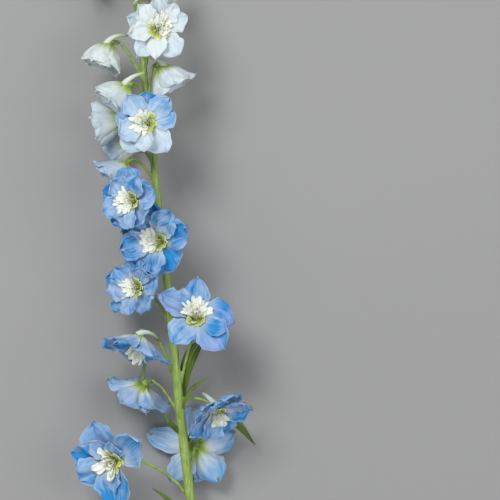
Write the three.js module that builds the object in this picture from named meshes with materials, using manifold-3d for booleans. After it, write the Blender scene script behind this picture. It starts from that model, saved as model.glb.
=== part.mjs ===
// A cut delphinium flower spike, lying on its back on a flat surface.
//
// Millimetres, +Z up. The stalk runs along +Y, from its cut end to the tip of the raceme, and the plant
// rests on z = 0 on the cut end and on the flowers of its underside. The stalk with its flower stalks is
// one piece. Each flower is a whorl of sepals, the upper one drawn out behind into a spur, round a tuft of
// small pale petals that hides the stamens. The younger flowers are bells, and above them hang closed buds.
//
// Places are given on a drawing grid whose y = 0 is the cut end and whose z = 0 is the surface. The last
// lines shift the whole plant, so that its origin is the middle of its footprint.

import * as THREE from "three";
import { mergeVertices } from "three/addons/utils/BufferGeometryUtils.js";
import Module from "manifold-3d";

// ---- Driving dimensions ----

const SPIKE_LENGTH = 648; // cut end to the tight cluster of buds at the tip
const CUT_RADIUS = 4.1;
const TIP_RADIUS = 1.3;
const GAP = 0.35; // kept between pieces that touch in the plant

const STALK_RADIUS = 1.15; // a flower's own stalk
const BUD_STALK_RADIUS = 0.85;
const STALK_ARCH = 0.32; // how far a side stalk keeps its direction at both ends, as a share of its reach
const HUB_RADIUS = 3.3; // the green disc that carries the sepals
const SEPAL_THICKNESS = 0.9;
const LOBES = 5;
const COLUMNS_PER_LOBE = 4;
const LOBE_NOTCH = 0.68; // length at the notch between two sepals, as a share of the sepal's own
const SPUR_BASE_RADIUS = 1.75;
const SPUR_TIP_RADIUS = 0.7;
const SPUR_CLEARANCE = 3; // between a turned spur's middle and the line of its flower's stalk
const TUFT_FOOT_RADIUS = 1.9;
const TUFT_RADIUS = 0.38; // at its mouth, as a share of the sepal length
const TUFT_HEIGHT = 0.34; // as a share of the sepal length
const TIP_CLUSTER_LENGTH = 13;
const TIP_CLUSTER_RADIUS = 4.7;
const LEAF_THICKNESS = 0.22; // as a share of its width

// Points that the stalk's centreline passes: [x, y, z].
const STALK_LINE = [
  [33, 0, CUT_RADIUS],
  [29, 50, 13.5],
  [24, 100, 23],
  [18, 150, 31],
  [12.5, 200, 36.5],
  [7, 260, 39.5],
  [-1, 330, 40],
  [-12, 430, 37],
  [-19.5, 500, 31.5],
  [-25.5, 560, 24],
  [-33, SPIKE_LENGTH, 11],
];

// Each open flower, from the lowest up. hub is where its sepals meet: a flower whose hub has no z lies on
// the surface. faces is the way it looks: the compass angle in the plan (0 is +X, 90 is +Y), then the
// angle above the surface. sepal is the length of a sepal, open the angle between sepal and axis, foot
// where its stalk leaves the main one.
const FLOWERS = [
  { hub: [-33, 149, 42], faces: [-145, 55], sepal: 29.5, open: 72, foot: 112 },
  { hub: [25, 158], faces: [-85, -72], sepal: 29, open: 78, foot: 128 },
  { hub: [39.5, 186, 45], faces: [-58, 36], sepal: 25, open: 66, foot: 188, arch: 0.35, spurTurn: 12 },
  { hub: [-12, 203], faces: [-120, -24], sepal: 24.5, open: 62, foot: 168 },
  { hub: [-14, 239, 50], faces: [-109, 12], sepal: 26.5, open: 56, foot: 180, spurTurn: 84 },
  { hub: [26, 251, 56], faces: [84, 62], sepal: 27, open: 78, foot: 190 },
  { hub: [-16, 273.5, 44], faces: [-175, 54], sepal: 22, open: 72, foot: 228 },
  { hub: [0, 307, 50], faces: [-169, 62], sepal: 25.5, open: 74, foot: 266 },
  { hub: [-18.5, 336, 66], faces: [-175, 56], sepal: 22, open: 72, foot: 326 },
  { hub: [-24, 363, 38], faces: [-128, 2], sepal: 23, open: 42, foot: 338, spurTurn: 30 },
  { hub: [-24, 377], faces: [-150, -48], sepal: 17, open: 40, foot: 352 },
  { hub: [-9.5, 391, 70], faces: [153, 84], sepal: 22, open: 82, foot: 344 },
  { hub: [-28, 395, 33], faces: [-170, -14], sepal: 23.5, open: 36, foot: 366, spurTurn: 35 },
  { hub: [-23, 418, 52], faces: [-134, 8], sepal: 24.5, open: 34, foot: 398, spurTurn: 20 },
  { hub: [0, 432, 50], faces: [-59, 3], sepal: 24, open: 36, foot: 396, spurTurn: 40 },
  { hub: [-36, 449, 42], faces: [-114, 9], sepal: 24, open: 30, foot: 410, arch: 0.25, spurTurn: 50 },
  { hub: [-1.5, 459, 65], faces: [30, 86], sepal: 22.5, open: 80, foot: 424 },
  { hub: [-7, 482, 40], faces: [-4, 10], sepal: 23, open: 38, foot: 452, spurTurn: 40 },
  { hub: [-43, 504, 27], faces: [-150, -12], sepal: 20, open: 34, foot: 474, spurTurn: 45 },
  { hub: [-8, 510], faces: [-30, -30], sepal: 18, open: 32, foot: 484, spurTurn: 30 },
];

// The closed buds above the flowers: length, side of the stalk (an angle round it, 0 is +X and 90 is up)
// and how far out the bud hangs. Their stalks leave the main one at even steps.
const BUDS = [
  { length: 14, side: 125, reach: 18 },
  { length: 14, side: 50, reach: 18 },
  { length: 13, side: 215, reach: 15 },
  { length: 12.5, side: 100, reach: 16 },
  { length: 12, side: -25, reach: 15 },
  { length: 11, side: 185, reach: 14 },
  { length: 10.5, side: 60, reach: 12 },
  { length: 10, side: -50, reach: 11 },
  { length: 9, side: 140, reach: 10 },
  { length: 8.5, side: 10, reach: 9 },
  { length: 7.5, side: 200, reach: 8 },
  { length: 6.5, side: 80, reach: 9 },
];
const FIRST_BUD_FOOT = 506;
const LAST_BUD_FOOT = 632;
const BUD_RISE = 0.8; // how far up the stalk a bud sits from its foot, as a share of its reach
const BUD_NOD = -0.35; // how far a bud's axis points back down the stalk
const BUD_WIDTH = 0.72; // as a share of its length

// Narrow leaves that stand at the feet of the lower flower stalks: where on the stalk and on which side
// of it (as for a bud), the further points of the midrib, the width at the broadest place and the way
// that the upper face looks.
const LEAVES = {
  leaf_upper_right: {
    foot: 184,
    side: -45,
    line: [[18.5, 208, 32], [21, 222, 37], [33, 236, 42]],
    width: 11.5,
    face: [-0.4, 0, 1],
  },
  leaf_lower_right: {
    foot: 162,
    side: -40,
    line: [[36, 180, 30], [52, 177, 24], [68, 159, 16]],
    width: 7,
    face: [0, 0.3, 1],
  },
  leaf_lower_left: {
    foot: 105,
    side: 170,
    line: [[12, 114, 27], [4, 121, 30], [-6, 128, 31]],
    width: 4.5,
    face: [0, 0.4, 1],
  },
  bract_right: {
    foot: 186,
    side: 60,
    line: [[22, 199, 44], [29, 205, 45], [36, 209, 43]],
    width: 3,
    face: [-0.4, 0, 1],
  },
  bract_left: {
    foot: 168,
    side: 150,
    line: [[10, 173, 39], [6, 177, 42], [3, 183, 44]],
    width: 4,
    face: [0, 0, 1],
  },
};

// ---- Materials ----

function plain(name, color, roughness) {
  return new THREE.MeshStandardMaterial({ name, color, roughness, metalness: 0 });
}
const STALK_GREEN = plain("stalk_green", 0x8fae45, 0.55);
const LEAF_GREEN = plain("leaf_green", 0x4c6426, 0.6);
const SEPAL_BLUE = plain("sepal_blue", 0x7ba6de, 0.6);
const SEPAL_WHITE = plain("sepal_white", 0xdce8f2, 0.6);
const PETAL_CREAM = plain("petal_cream", 0xf0f0e0, 0.6);
const BUD_CREAM = plain("bud_cream", 0xe6ebd2, 0.6);
const FIRST_WHITE_FLOWER = 13; // flowers from this one up are still pale

// ---- Solids ----

const wasm = await Module();
wasm.setup();

/** A closed geometry as a solid that can be joined and cut. */
function solidOf(geometry) {
  const bare = geometry.clone();
  for (const name of ["normal", "uv"]) bare.deleteAttribute(name);
  const merged = mergeVertices(bare, 1e-3);
  return new wasm.Manifold(
    new wasm.Mesh({
      numProp: 3,
      vertProperties: merged.attributes.position.array,
      triVerts: new Uint32Array(merged.index.array),
    }),
  );
}

/** The largest single body of a solid, as a geometry. */
function geometryOf(solid) {
  const whole = solid.decompose().sort((a, b) => b.volume() - a.volume())[0];
  const mesh = whole.getMesh();
  const geometry = new THREE.BufferGeometry();
  geometry.setAttribute("position", new THREE.BufferAttribute(mesh.vertProperties, 3));
  geometry.setIndex(new THREE.BufferAttribute(mesh.triVerts, 1));
  geometry.computeVertexNormals();
  return geometry;
}

function vector(values) {
  return new THREE.Vector3(...values);
}

function curveThrough(points) {
  return new THREE.CatmullRomCurve3(points.map(vector), false, "centripetal");
}

/**
 * A closed body along a curve. radiusAt gives its radius from the curve's start (0) to its end (1). With
 * a face direction the section is an oval that lies flat to it, flatness being its height over its width.
 */
function sweep(curve, radiusAt, sides, steps, face = null, flatness = 1) {
  const geometry = new THREE.CylinderGeometry(1, 1, 1, sides, steps);
  const frames = curve.computeFrenetFrames(steps);
  const place = geometry.attributes.position;
  for (let i = 0; i < place.count; i++) {
    const along = place.getY(i) + 0.5;
    const step = Math.round(along * steps);
    const tangent = frames.tangents[step];
    const side = face ? new THREE.Vector3().crossVectors(tangent, face).normalize() : frames.normals[step];
    const up = new THREE.Vector3().crossVectors(side, tangent);
    const point = curve.getPointAt(along);
    point.addScaledVector(side, place.getX(i) * radiusAt(along));
    point.addScaledVector(up, place.getZ(i) * radiusAt(along) * flatness);
    place.setXYZ(i, point.x, point.y, point.z);
  }
  return solidOf(geometry);
}

// ---- The stalk ----

const stalkCurve = curveThrough(STALK_LINE);

/** The point of the main stalk's centreline at a height y above the cut end. */
function stalkPoint(y) {
  let [low, high] = [0, 1];
  for (let i = 0; i < 30; i++) {
    const middle = (low + high) / 2;
    if (stalkCurve.getPointAt(middle).y < y) low = middle;
    else high = middle;
  }
  return stalkCurve.getPointAt(low);
}

/** The main stalk's radius, from its cut end (0) to its tip (1). */
function stalkRadius(along) {
  return THREE.MathUtils.lerp(CUT_RADIUS, TIP_RADIUS, along ** 1.15);
}

function mainStalk() {
  return sweep(stalkCurve, stalkRadius, 10, 22);
}

/** A flower's or bud's stalk: up along the main stalk, out, and into the flower's back along its axis. */
function sideStalk(foot, hub, axis, radius, arch = STALK_ARCH) {
  const start = stalkPoint(foot);
  const handle = start.distanceTo(hub) * arch;
  const leave = start.clone().add(new THREE.Vector3(0, handle, 0));
  const arrive = hub.clone().addScaledVector(axis, -handle);
  return sweep(new THREE.CubicBezierCurve3(start, leave, arrive, hub), () => radius, 6, 7);
}

// ---- Flowers ----

/** A flower's own frame: y along the way it faces, x towards its spur's side. */
function flowerFrame({ hub, faces }) {
  const [plan, above] = faces.map(THREE.MathUtils.degToRad);
  const axis = vector([Math.cos(plan) * Math.cos(above), Math.sin(plan) * Math.cos(above), Math.sin(above)]);
  const towardsTip = new THREE.Vector3(0, 1, 0);
  const spurSide = towardsTip.addScaledVector(axis, -towardsTip.dot(axis)).normalize();
  const third = new THREE.Vector3().crossVectors(spurSide, axis);
  const basis = new THREE.Matrix4().makeBasis(spurSide, axis, third);
  const [x, y, z = 0] = hub;
  return { hub: new THREE.Vector3(x, y, z), axis, turn: new THREE.Quaternion().setFromRotationMatrix(basis) };
}

/** How far a turned geometry reaches below its own origin. */
function depthBelow(geometry, turn) {
  const turned = geometry.clone().applyQuaternion(turn);
  turned.computeBoundingBox();
  return -turned.boundingBox.min.z;
}

/**
 * Radius and height along a sepal's midline. A bell's sepals, open about 30 degrees, curl in towards their
 * tips, and a flat flower's, open about 80, curl back.
 */
function sepalMidline(sepal, open, along) {
  const turnOut = THREE.MathUtils.mapLinear(open, 30, 80, -50, 35);
  const steps = 8;
  let [radius, height] = [HUB_RADIUS, 0];
  for (let i = 0; i < steps; i++) {
    const share = ((i + 0.5) / steps) * along;
    const slope = THREE.MathUtils.degToRad(open + turnOut * (share - 0.5));
    radius += (Math.sin(slope) * sepal * along) / steps;
    height += (Math.cos(slope) * sepal * along) / steps;
  }
  return [radius, height];
}

/** The whorl as a closed cup with a lobe for each sepal, in the flower's own frame. */
function sepalCup({ sepal, open }) {
  const stops = [0, 0.5, 1]; // where a sepal's length has a ring of points, on its back and on its face
  const back = stops.map((along) => ({ along, wall: SEPAL_THICKNESS }));
  const front = stops.toReversed().map((along) => ({ along, wall: 0 }));
  const rings = [...back, ...front];
  const rows = rings.length + 2; // and a point on the axis at each end
  const columns = LOBES * COLUMNS_PER_LOBE;
  const slope = THREE.MathUtils.degToRad(open);
  const geometry = new THREE.LatheGeometry(Array.from({ length: rows }, () => new THREE.Vector2()), columns);
  const place = geometry.attributes.position;
  for (let i = 0; i < place.count; i++) {
    const row = i % rows;
    const column = Math.floor(i / rows) % columns;
    if (row === 0 || row === rows - 1) {
      place.setXYZ(i, 0, row === 0 ? -SEPAL_THICKNESS : 0, 0);
      continue;
    }
    const { along, wall } = rings[row - 1];
    const nearMidline = Math.abs(((column / COLUMNS_PER_LOBE) % 1) - 0.5) * 2; // 0 in a notch
    const length = along * THREE.MathUtils.lerp(LOBE_NOTCH, 1, nearMidline ** 0.75);
    const [radius, height] = sepalMidline(sepal, open, length);
    const round = (column / columns) * 2 * Math.PI;
    const out = radius + wall * Math.cos(slope);
    place.setXYZ(i, Math.cos(round) * out, height - wall * Math.sin(slope), -Math.sin(round) * out);
  }
  return solidOf(geometry);
}

/**
 * The spur: back from the upper sepal's foot. It bends towards the tip of the spike, or, where spurTurn is
 * given, leans over past the upper side of the flower's own stalk.
 */
function spur({ sepal, spurTurn }, turn) {
  const length = 0.5 * sepal + 3;
  let line = [[3.6, -0.5, 0], [5.2, -0.45 * length, 0], [9.5, -0.95 * length, 0]];
  if (spurTurn !== undefined) {
    const upper = Math.sign(vector([0, 0, 1]).applyQuaternion(turn).z) * SPUR_CLEARANCE;
    const [x, y] = [3.2, -0.5];
    const leant = (degrees, reach, aside) => {
      const angle = THREE.MathUtils.degToRad(degrees);
      return [x - Math.sin(angle) * reach, y - Math.cos(angle) * reach, aside];
    };
    const bend = leant(spurTurn - 25, 0.5 * length, 1.5 * upper);
    line = [[x, y, 0.5 * upper], bend, leant(spurTurn, length, upper)];
  }
  const curve = new THREE.QuadraticBezierCurve3(...line.map(vector));
  return sweep(curve, (s) => THREE.MathUtils.lerp(SPUR_BASE_RADIUS, SPUR_TIP_RADIUS, s), 6, 4);
}

/** The tuft of small petals: a flared goblet on the flower's axis. */
function petalTuft({ sepal, open }) {
  const flare = THREE.MathUtils.clamp(open / 60, 0.65, 1);
  const mouth = TUFT_RADIUS * sepal * flare;
  const top = GAP + TUFT_HEIGHT * sepal;
  const profile = [
    [0, GAP],
    [TUFT_FOOT_RADIUS, GAP],
    [0.75 * mouth, 0.55 * top],
    [mouth, top],
    [0, 0.88 * top],
  ].map((p) => new THREE.Vector2(...p));
  return solidOf(new THREE.LatheGeometry(profile, 6));
}

// ---- Buds ----

/** Where a bud starts and which way it points. */
function budFrame({ side, reach }, foot) {
  const round = THREE.MathUtils.degToRad(side);
  const out = new THREE.Vector3(Math.cos(round), 0, Math.sin(round));
  const hub = stalkPoint(foot).addScaledVector(out, reach);
  hub.y += reach * BUD_RISE;
  const axis = out.clone().add(new THREE.Vector3(0, BUD_NOD, 0)).normalize();
  return { hub, axis };
}

/** An egg on the bud's axis, with the young spur straight behind it. */
function bud({ length }, { hub, axis }) {
  const along = (distance) => hub.clone().addScaledVector(axis, distance);
  const egg = (s) => (BUD_WIDTH / 2) * length * Math.sin(Math.PI * (0.1 + 0.86 * s) ** 0.8) ** 0.8;
  const body = sweep(new THREE.LineCurve3(along(GAP), along(GAP + length)), egg, 8, 5);
  const towardsTip = new THREE.Vector3(0, 1, 0);
  const beside = towardsTip.addScaledVector(axis, -towardsTip.dot(axis)).setLength(0.28 * length);
  const [near, far] = [along(0.25 * length).add(beside), along(-0.6 * length).add(beside)];
  const tail = sweep(new THREE.LineCurve3(near, far), (s) => (0.08 - 0.04 * s) * length, 5, 1);
  return body.add(tail);
}

/** The tight cluster of tiny buds that ends the spike. */
function tipCluster() {
  const end = stalkCurve.getPointAt(1);
  const along = stalkCurve.getTangentAt(1);
  const start = end.clone().addScaledVector(along, GAP);
  const curve = new THREE.LineCurve3(start, start.clone().addScaledVector(along, TIP_CLUSTER_LENGTH));
  return sweep(curve, (s) => TIP_CLUSTER_RADIUS * Math.sin(Math.PI * (0.15 + 0.83 * s)) ** 0.7, 8, 5);
}

function leaf({ foot, side, line, width, face }) {
  const round = THREE.MathUtils.degToRad(side);
  const start = stalkPoint(foot);
  const clear = stalkRadius(foot / SPIKE_LENGTH) + 1.5 * GAP;
  start.add(new THREE.Vector3(Math.cos(round) * clear, 0, Math.sin(round) * clear));
  const blade = (s) => (width / 2) * Math.max(0.1, Math.sin(Math.PI * (0.08 + 0.9 * s)));
  const midrib = curveThrough([start.toArray(), ...line]);
  return sweep(midrib, blade, 6, 8, vector(face).normalize(), LEAF_THICKNESS);
}

// ---- The plant ----

const plant = new THREE.Group();

function add(name, geometry, material, frame = null) {
  const mesh = new THREE.Mesh(geometry, material);
  mesh.name = name;
  if (frame) {
    mesh.position.copy(frame.hub);
    mesh.quaternion.copy(frame.turn);
  }
  plant.add(mesh);
}

function numbered(kind, i) {
  return `${kind}_${String(i + 1).padStart(2, "0")}`;
}

let stalk = mainStalk();
FLOWERS.forEach((flower, i) => {
  const frame = flowerFrame(flower);
  const sepals = geometryOf(sepalCup(flower).add(spur(flower, frame.turn)));
  if (flower.hub.length === 2) frame.hub.z = depthBelow(sepals, frame.turn);
  const skin = i + 1 >= FIRST_WHITE_FLOWER ? SEPAL_WHITE : SEPAL_BLUE;
  add(`${numbered("flower", i)}_sepals`, sepals, skin, frame);
  add(`${numbered("flower", i)}_petals`, geometryOf(petalTuft(flower)), PETAL_CREAM, frame);
  const end = frame.hub.clone().addScaledVector(frame.axis, -(SEPAL_THICKNESS + GAP));
  stalk = stalk.add(sideStalk(flower.foot, end, frame.axis, STALK_RADIUS, flower.arch));
});
BUDS.forEach((spec, i) => {
  const foot = THREE.MathUtils.lerp(FIRST_BUD_FOOT, LAST_BUD_FOOT, i / (BUDS.length - 1));
  const frame = budFrame(spec, foot);
  add(numbered("bud", i), geometryOf(bud(spec, frame)), BUD_CREAM);
  stalk = stalk.add(sideStalk(foot, frame.hub, frame.axis, BUD_STALK_RADIUS));
});
add("stalk", geometryOf(stalk), STALK_GREEN);
add("tip_bud_cluster", geometryOf(tipCluster()), BUD_CREAM);
for (const [name, spec] of Object.entries(LEAVES)) add(name, geometryOf(leaf(spec)), LEAF_GREEN);

plant.updateMatrixWorld(true);
const box = new THREE.Box3().setFromObject(plant, true);
const middle = box.getCenter(new THREE.Vector3());
plant.position.set(-middle.x, -middle.y, -box.min.z);

export default plant;
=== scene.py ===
"""The looks of a cut delphinium spike that lies on a pale floor, seen from straight above.

Every flower, bud and leaf is modelled again in the place of its CAD node. A flower's place, axis, size and
openness are read from its two nodes: the cup of sepals with the spur, and the goblet of small petals.
Lengths are metres in the row frame: +Y runs up the spike and +Z away from the floor.
"""

import bpy
import numpy as np
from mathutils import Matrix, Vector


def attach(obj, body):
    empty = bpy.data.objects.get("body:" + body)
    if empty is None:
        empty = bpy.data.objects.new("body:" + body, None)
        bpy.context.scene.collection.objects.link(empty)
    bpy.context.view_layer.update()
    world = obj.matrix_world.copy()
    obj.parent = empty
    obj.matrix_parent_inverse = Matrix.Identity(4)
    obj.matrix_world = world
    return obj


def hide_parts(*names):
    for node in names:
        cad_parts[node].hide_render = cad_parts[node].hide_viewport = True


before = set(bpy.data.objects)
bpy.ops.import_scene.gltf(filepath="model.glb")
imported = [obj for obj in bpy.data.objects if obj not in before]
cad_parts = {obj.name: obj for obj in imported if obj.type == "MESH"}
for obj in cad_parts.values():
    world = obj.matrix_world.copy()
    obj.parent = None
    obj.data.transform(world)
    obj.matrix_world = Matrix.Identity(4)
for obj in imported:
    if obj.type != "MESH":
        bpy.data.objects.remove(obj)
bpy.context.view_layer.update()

MM = 0.001
SEED = 11
# With these, every bud and leaf has random numbers of its own, as every flower has by its number.
BUD_SEED = 100
TIP_SEED = 200
LEAF_SEED = 300
BRACT_SEED = 400
BODY = "root"
UP_THE_SPIKE = np.array([0.0, 1.0, 0.0])
FLOOR_CLEARANCE = 0.2 * MM
FLOOR_BEND = 1.2 * MM  # how softly a sepal that reaches the floor bends along it
FLOOR_LAYER = 0.5 * MM  # from one such sepal to the next
PILE_CELL = 0.6 * MM  # of the grid that keeps how high an open flower's sepals already lie
PILE_GAP = 0.45 * MM  # from the middle of one sepal to that of the next one on it
PILE_LIFT = 4 * MM  # the most that a sepal is lifted to lie on the others
PILE_SOFTENINGS = 6  # how often the lift is softened

# ---- What the CAD nodes are like ----

GAP = 0.35 * MM  # between pieces that touch in the plant
HUB_RADIUS = 3.3 * MM  # of the green disc that carries the sepals
SPUR_STARTS = 2.2 * MM  # behind the cup of sepals: only the spur is further back
SPUR_FOOT = 2.6 * MM  # from the flower's axis to the middle of the spur's mouth
SPUR_MOUTH = 2.6 * MM  # the mouth's radius
CHORD_SHARE = 0.985  # a curved sepal's chord, as a share of its length
# By how many degrees the cup's walls turn outwards from foot to tip, in a flower that opens by 30 and by 80.
CUP_TURN = ((30, 80), (-50, 35))
CUP_STEPS = 20  # in which its walls are followed
BUD_TAIL_REACH = 1.624  # tip of a bud to the end of its spur, as a share of the bud's length
BUD_TAIL_ANGLE = 9.93  # degrees between that line and the bud's axis

# ---- Each flower ----

FLOWERS = 20
FIRST_WHITE_FLOWER = 13
SEPALS = 5  # in the outer whorl, and in a bud


class Look:
    """How a flower looks. Each one gives what differs from the values here."""

    blue = 0.5  # how strongly its sepals are coloured
    lavender = 0.05
    fade = 0.84  # how much of the blue each further whorl keeps
    above = 0.0  # painted shade: how much bluer and darker the upper sepals are made, and how much paler the lower ones, for how light falls on the flower
    spur = 0.1  # how olive the spur is
    inner = ((3, 0.97),)  # each further whorl's number of sepals, and their length as a share of the outer's
    turns = (0,) * SEPALS  # how many degrees each outer sepal stands from its even place
    lengths = (1,) * SEPALS  # of the outer sepals
    widths = (1,) * SEPALS
    broad = 1.0  # how wide all the sepals are
    crumple = 1.0
    round = 0.0  # how round their outlines are
    opening = 0  # where the throat shows beside the small petals, in degrees from the spur's side
    fan = 1.0  # how long the small petals are, which fan out away from the opening
    spread = 1.0  # how far round they go
    lean = 1.0  # how far they lean out
    many = 1.0  # how many they are
    wide = 1.0  # and how wide

    def __init__(self, **own):
        self.__dict__.update(own)


LOOKS = {
    1: Look(
        blue=0.88, lavender=0.2, inner=((3, 0.72),), turns=(18, 1, -33, -27, 12), crumple=0.8,
        lengths=(1.08, 1.02, 1.0, 1.12, 1.25), widths=(1.1, 1.0, 1.0, 1.3, 1.25),
        opening=292, fan=1.1, spread=0.75, many=0.3, wide=1.55,
    ),
    2: Look(
        blue=0.78, lavender=0.25, spur=0.9, inner=((3, 0.8),), opening=30,
        lengths=(1, 1, 1, 1, 1.28), widths=(1, 1, 1, 1, 0.75),
    ),
    3: Look(
        blue=0.9, lavender=0.45, inner=((3, 0.85),), broad=1.15, crumple=1.3,
        opening=20, spread=0.5, lean=0.65, many=0.75,
    ),
    4: Look(
        blue=0.75, lavender=0.4, spur=0.9, inner=((2, 0.85),), turns=(36,) * SEPALS, crumple=1.2,
        lengths=(1.0, 1.12, 0.78, 1.0, 1.05), opening=90, fan=0.8, lean=0.7,
    ),
    5: Look(
        blue=0.9, lavender=0.2, inner=((1, 0.7),), turns=(-23,) * SEPALS, crumple=1.2,
        lengths=(1.0, 1.12, 1.1, 1.0, 1.0), opening=325, fan=1.6, spread=0.5, lean=0.5,
    ),
    6: Look(
        blue=0.84, lavender=0.5, inner=((1, 0.6),), turns=(0, -5, -1, -2, -34), broad=1.15,
        lengths=(1.08, 1.12, 0.97, 1.2, 1.0), widths=(0.74, 1.15, 0.9, 1.0, 1.15), opening=180, spread=0.85,
    ),
    7: Look(
        blue=0.88, lavender=0.35, inner=((4, 0.9),), broad=1.15, crumple=1.4, round=0.8,
        opening=270, fan=0.85, spread=0.8,
    ),
    8: Look(
        blue=0.96, lavender=0.3, fade=0.95, inner=((4, 1.04),), lengths=(1.08, 1.0, 1.1, 0.9, 1.04),
        broad=1.22, crumple=1.35, round=1.0, opening=262, fan=1.02, spread=0.66, lean=1.05, many=1.2,
    ),
    9: Look(
        blue=0.88, lavender=0.25, inner=((4, 0.95),), broad=1.22, crumple=1.3, round=0.8,
        opening=278, fan=1.12, spread=0.8,
    ),
    10: Look(blue=0.5, lavender=0.15, spur=0.7),
    11: Look(blue=0.5, lavender=0.2),
    # Flower 12 carries painted shade: its upper sepals are made bluer and darker and its lower ones paler
    # (above).
    12: Look(
        blue=0.56, lavender=0.1, fade=0.92, above=0.45, inner=((4, 1.0),), lengths=(1.0, 1.0, 1.1, 1.1, 1.0),
        broad=1.15, crumple=0.8, round=0.3, opening=268,
    ),
    13: Look(blue=0.22, lavender=0.1),
    14: Look(blue=0.2),
    15: Look(blue=0.2, spur=0.4),
    16: Look(blue=0.1),
    17: Look(blue=0.24, fade=0.5, inner=((4, 0.95),), crumple=0.8, round=-0.3, opening=135),
    18: Look(blue=0.14),
    19: Look(blue=0.08),
    20: Look(blue=0.06),
}
FLATNESS = (35, 75)  # an openness, in degrees, at which a flower is a goblet, and one at which it is flat
SEPAL_TURN = ((30, 80), (-50, 28))  # the same as CUP_TURN, for the sepals made here
SEPAL_ROWS = 26
SEPAL_COLUMNS = 21
SEPAL_THICKNESS = 0.34 * MM
SEPAL_FOOT = 1.9 * MM  # how far from the axis a sepal starts
SPUR_STEPS = 18
PETAL_ROWS = 12
PETAL_COLUMNS = 9
PETAL_THICKNESS = 0.28 * MM
# The layers of the tuft, from the outside: how many small petals, how far round the axis they stand to
# either side of the fan's middle, their length as a share of a sepal's, and their angle from the axis.
TUFT = ((10, 104, 0.53, 66), (9, 92, 0.46, 50), (7, 76, 0.38, 32), (5, 58, 0.3, 14))
# What blade() is told about every petal of the tuft, and about every green claw.
TUFT_PETAL = {
    "claw": 0.34, "taper": 2.1, "blunt": 0.4, "uneven": 0.2,
    "ruffle": 0.11, "fold": 0.04, "crease": 0.13, "pleat": 0.02,
}
CLAW_PETAL = {
    "claw": 0.6, "taper": 2.0, "blunt": 0.5, "uneven": 0.15, "widest": 0.6, "skew": 0.0, "point": -0.05,
    "ruffle": 0.1, "fold": 0.03, "crease": 0.1, "pleat": 0.02,
}
CLAWS = 7  # small green petals that stand in an arc at the opening
CLAW_ARC = 130  # degrees
CARPELS = 3
STAMENS = 6
BRACT_LENGTH = 6 * MM
BRACT_WIDTH = 1.4 * MM
BRACT_CLEARANCE = 3 * MM  # behind the flower

BUDS = 12
BUD_GRID = (18, 9)  # rows and columns of points in each of a bud's sepals
BUD_THICKNESS = 0.3 * MM
BUD_BELLY = 0.37  # the radius where it is thickest, as a share of its length
BUD_CORE = 0.34  # the same for what its sepals close round
TINY_BUDS = 11  # at the tip
TINY_BUD_GRID = (12, 7)
SPIRAL = 137.5  # degrees from each tiny bud to the next
# How far up each leaf is broadest: 1 is near the middle, and more is nearer the tip.
LEAVES = {
    "leaf_upper_right": 2.1,
    "leaf_lower_right": 1.0,
    "leaf_lower_left": 1.0,
    "bract_right": 1.0,
    "bract_left": 1.0,
}
LEAF_COLUMNS = 15
LEAF_STEPS = 30
LEAF_THICKNESS = 0.4 * MM
BRACT_COLUMNS = 7
BRACT_STEPS = 10
BRACT_THICKNESS = 0.3 * MM

STALK_VOXEL = 0.57 * MM  # of the grid in which the stalk is melted into one skin
STALK_SWELL = 0.16 * MM  # puts back what the smoothing takes off
STALK_STEP = 4 * MM  # the slices in which the main stalk is followed
STALK_REACH = 5.5 * MM  # no point of the main stalk is further from its middle
# The green receptacle behind each flower: how far behind it, and its radius there, in mm.
RECEPTACLE = ((4.6, 1.0), (3.6, 1.7), (2.6, 2.5), (1.6, 3.1), (0.9, 3.2))

# ---- The camera and the studio ----

MM_PER_PIXEL = 0.72
VIEW_CENTRE = (62.8 * MM, -30.2 * MM)  # the point under the middle of the picture
VIEW_HEIGHT = 45 * MM  # the level whose scale is MM_PER_PIXEL
PICTURE = 500  # pixels
CAMERA_DISTANCE = 5.0  # metres, like the floor's reach and the places and sizes of the lights
SENSOR = 36.0  # mm
FLOOR_REACH = 4.0
LIGHT_TARGET = (0.0, 0.0, 0.03)
LIGHTS = {  # each one's place, size and power in watts
    "key": ((-0.6, 0.8, 1.6), 0.7, 25),
    "fill": ((1.1, 0.1, 1.5), 1.2, 11),
    "low": ((-0.2, -1.3, 1.2), 1.2, 8),
}
SKY_STRENGTH = 0.42

# ---- Shapes ----

TINY = 1e-12  # keeps a length of 0 from being divided by


def smooth(value, low, high):
    """0 below low, 1 above high, and a smooth rise between them."""
    share = np.clip((value - low) / (high - low), 0.0, 1.0)
    return share * share * (3 - 2 * share)


def unit(vector):
    return vector / np.linalg.norm(vector)


def square_to(axis, vector):
    """The direction across an axis that is nearest to a vector."""
    return unit(vector - axis * (vector @ axis))


def node_points(name):
    """The corners of a CAD node, each once."""
    corners = np.array([v.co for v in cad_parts[name].data.vertices])
    return np.unique(corners.round(5), axis=0)


def long_axis(points):
    """The middle of some points, and the way in which they reach furthest."""
    middle = points.mean(axis=0)
    return middle, np.linalg.eigh(np.cov((points - middle).T))[1][:, 2]


def fitted(share, points, degree, at):
    """A smooth line through points that are each a share of the way along it."""
    fits = [np.polyfit(share, points[:, k], degree) for k in range(3)]
    return np.stack([np.polyval(fit, at) for fit in fits], axis=1)


def added(name, data):
    """Puts a new object into the scene."""
    thing = bpy.data.objects.new(name, data)
    bpy.context.scene.collection.objects.link(thing)
    return thing


def placed(name, mesh, slot, *nodes):
    """Puts a mesh into the scene as a piece that stands for CAD nodes."""
    piece = added(name, mesh)
    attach(piece, BODY)
    if nodes:
        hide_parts(*nodes)


def new_mesh(name, points, faces, *materials):
    mesh = bpy.data.meshes.new(name)
    mesh.from_pydata(points, [], faces)
    for material in materials:
        mesh.materials.append(material)
    return mesh


def give_values(mesh, name, values):
    """Gives the points of a mesh three numbers each, for its materials."""
    layer = mesh.attributes.new(name, "FLOAT_VECTOR", "POINT")
    layer.data.foreach_set("vector", np.asarray(values, np.float32).ravel())


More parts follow.
